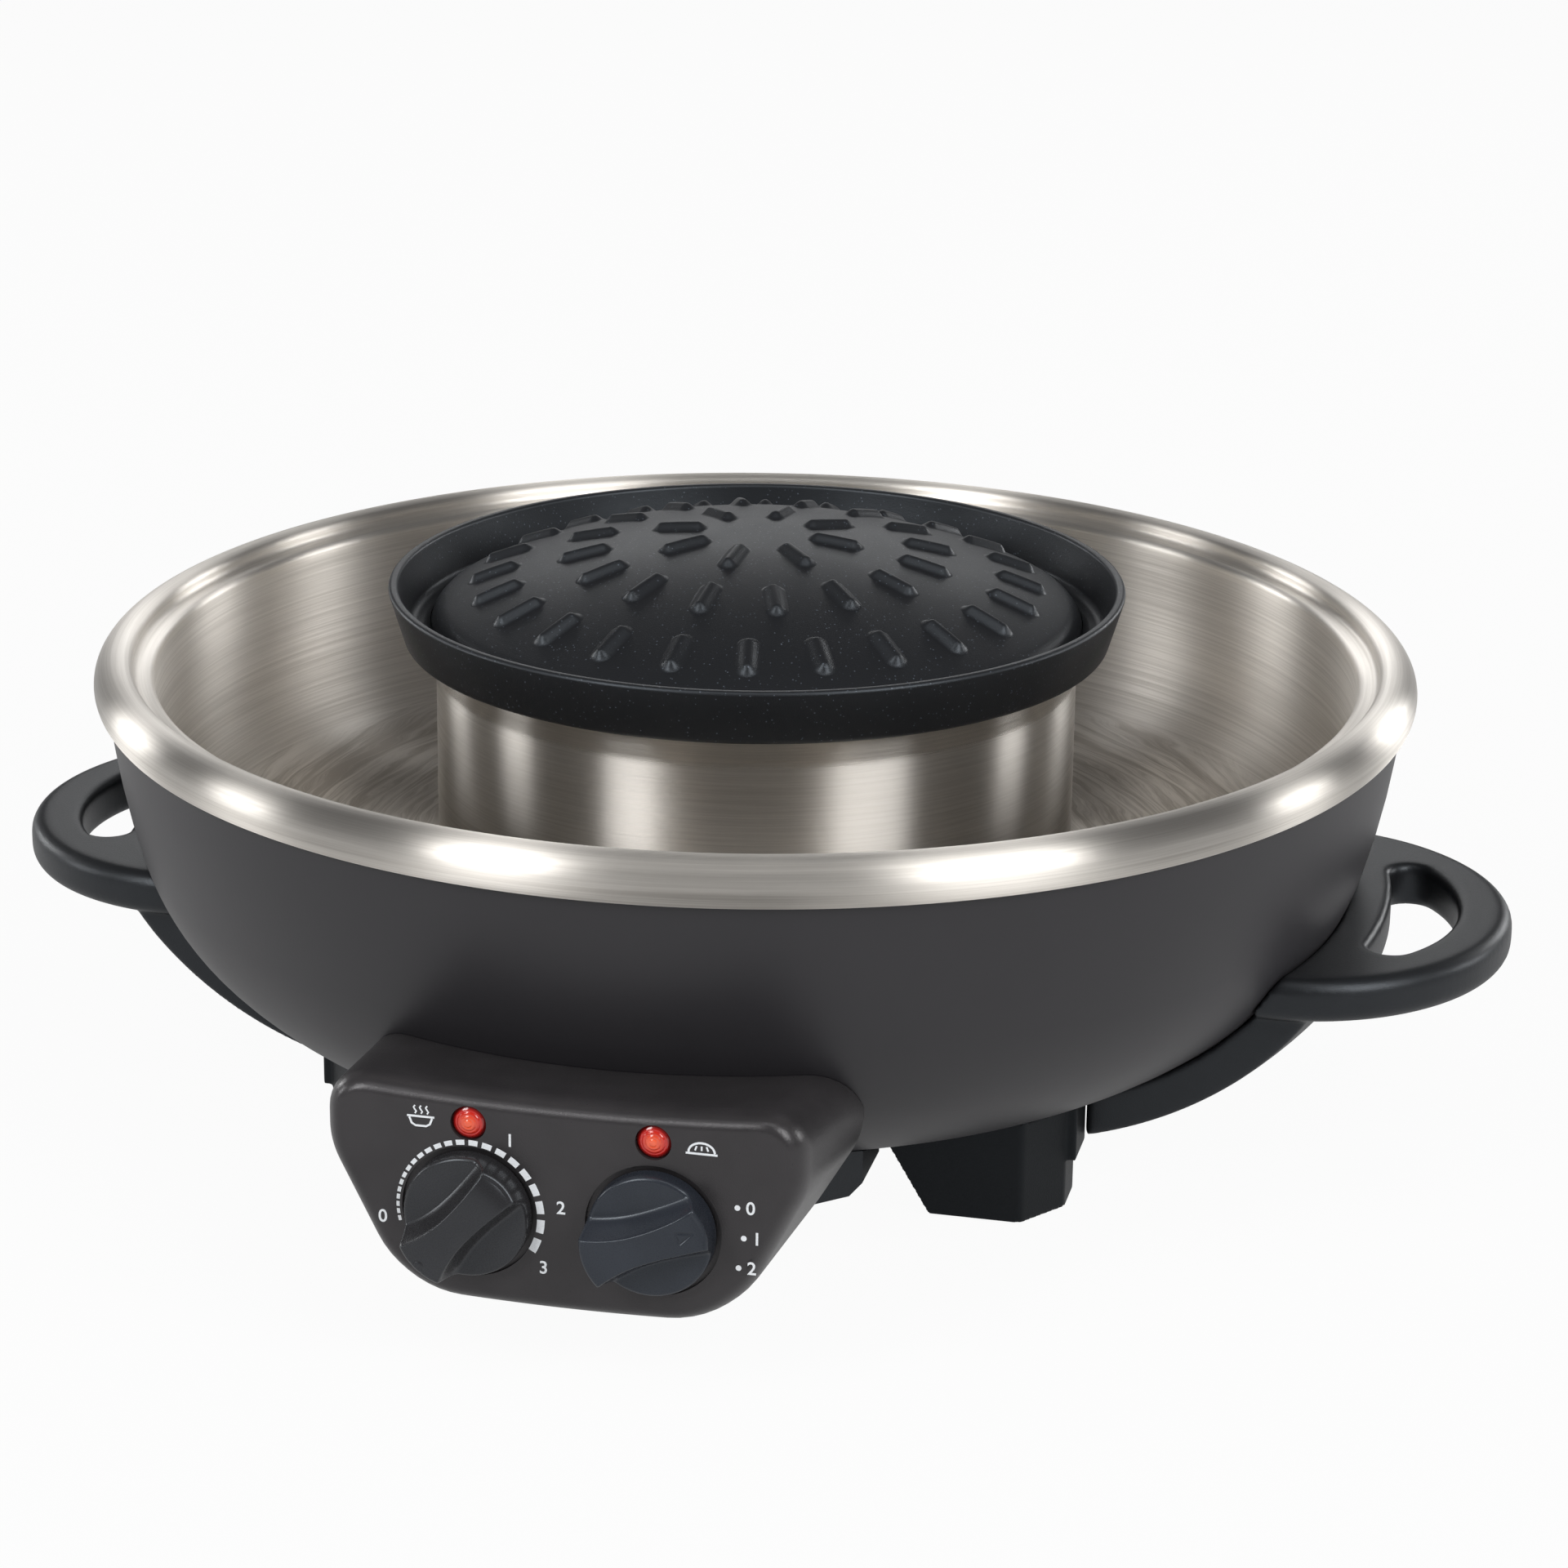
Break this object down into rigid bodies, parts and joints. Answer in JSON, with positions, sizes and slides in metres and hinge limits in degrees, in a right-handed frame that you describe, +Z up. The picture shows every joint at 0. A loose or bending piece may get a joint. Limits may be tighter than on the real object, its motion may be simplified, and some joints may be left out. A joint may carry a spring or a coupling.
{
  "type": "electric grill",
  "caption": "Round table-top cooker with a brushed steel hot-pot trough around a raised ribbed grill dome, loop handles, low legs and a two-knob control box.",
  "frame": {"origin": "on the pot's axis at the surface it stands on", "axes": "+Z up, -Y towards the control box, +X towards the right handle"},
  "size_m": [0.442, 0.4126, 0.17],
  "materials": {
    "shell_paint": "satin dark grey enamel",
    "pan_steel": "brushed stainless steel",
    "plate_coating": "matte non-stick coating with fine specks",
    "galvanised_sheet": "plain zinc-coated sheet",
    "bright_sheet": "bright reflector sheet",
    "element_sheath": "dark oxidised heater sheath",
    "insulator": "matte insulating body",
    "screw_steel": "zinc-plated steel",
    "black_plastic": "fine-grained black moulding",
    "black_rubber": "soft black rubber",
    "knob_black": "satin black moulding",
    "knob_grey": "satin blue-grey moulding",
    "lamp_lens": "clear red lens",
    "control_body": "dark moulded switch body",
    "wire_sleeve": "woven heat-proof sleeve"
  },
  "bodies": {
    "base": {"base_cover": "galvanised_sheet", "centre_tower": "galvanised_sheet", "control_box": "black_plastic", "control_cover": "black_plastic", "cord_gland": "black_plastic", "cover_screws": "screw_steel", "element_cradles": "bright_sheet", "element_sleeves": "insulator", "foot_pads": "black_rubber", "grill_element": "element_sheath", "grill_element_clips": "bright_sheet", "grill_reflector": "bright_sheet", "handle_left": "black_plastic", "handle_right": "black_plastic", "heat_shield": "galvanised_sheet", "hotpot_element": "element_sheath", "inner_screws": "screw_steel", "lamp_bodies": "insulator", "lamp_lens_grill": "lamp_lens", "lamp_lens_hotpot": "lamp_lens", "leg_front_left": "black_plastic", "leg_front_right": "black_plastic", "leg_rear_left": "black_plastic", "leg_rear_right": "black_plastic", "leg_screws": "screw_steel", "outer_shell": "shell_paint", "panel_nuts": "screw_steel", "rotary_switch": "control_body", "shell_grommet": "black_rubber", "terminal_block": "insulator", "thermal_fuse": "bright_sheet", "thermostat": "control_body", "wall_screws": "screw_steel", "wiring_loom": "wire_sleeve"},
    "pot": {"hotpot_pan": "pan_steel", "pan_chimney": "pan_steel"},
    "plate": {"grill_plate": "plate_coating", "plate_rim": "plate_coating"},
    "hotpot_knob": {"hotpot_knob": "knob_black", "hotpot_shaft": "screw_steel"},
    "grill_knob": {"grill_knob": "knob_grey", "grill_shaft": "screw_steel"}
  },
  "joints": [
    {"name": "pot_lift", "type": "slide", "parent": "base", "child": "pot", "axis": [0, 0, 1], "range_m": [0, 0.12]},
    {"name": "plate_lift", "type": "slide", "parent": "pot", "child": "plate", "axis": [0, 0, 1], "range_m": [0, 0.08]},
    {"name": "hotpot_knob_turn", "type": "hinge", "parent": "base", "child": "hotpot_knob", "pos_m": [-0.0241, -0.21, 0.0451], "axis": [0, 1, 0], "range_deg": [0, 255]},
    {"name": "grill_knob_turn", "type": "hinge", "parent": "base", "child": "grill_knob", "pos_m": [0.0241, -0.21, 0.0451], "axis": [0, 1, 0], "range_deg": [0, 41]}
  ]
}
